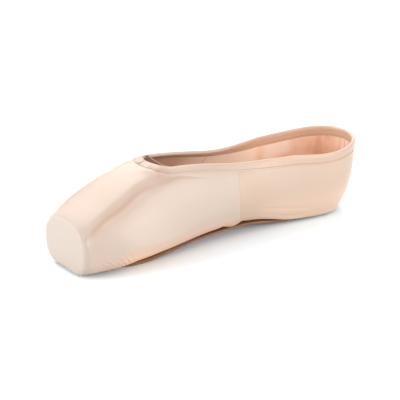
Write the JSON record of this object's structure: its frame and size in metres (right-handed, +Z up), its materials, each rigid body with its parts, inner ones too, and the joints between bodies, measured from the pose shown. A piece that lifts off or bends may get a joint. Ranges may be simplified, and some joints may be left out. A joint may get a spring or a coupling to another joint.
{
  "type": "pointe shoe",
  "caption": "Satin ballet pointe shoe with a flat-ended stiff toe box, bound collar, elastic drawstring, slim leather outsole and insole board.",
  "frame": {"origin": "on the floor, under the middle of the shoe's whole length and width", "axes": "+X from the heel to the toe, +Y to the shoe's left side, +Z up"},
  "size_m": [0.239, 0.0724, 0.0655],
  "materials": {
    "satin": "satin",
    "binding": "matte",
    "elastic": "matte",
    "sole_leather": "matte",
    "insole_board": "matte"
  },
  "bodies": {
    "root": {"upper": "satin", "topline_binding": "binding", "drawstring": "elastic", "outsole": "sole_leather", "insole": "insole_board"}
  },
  "joints": []
}
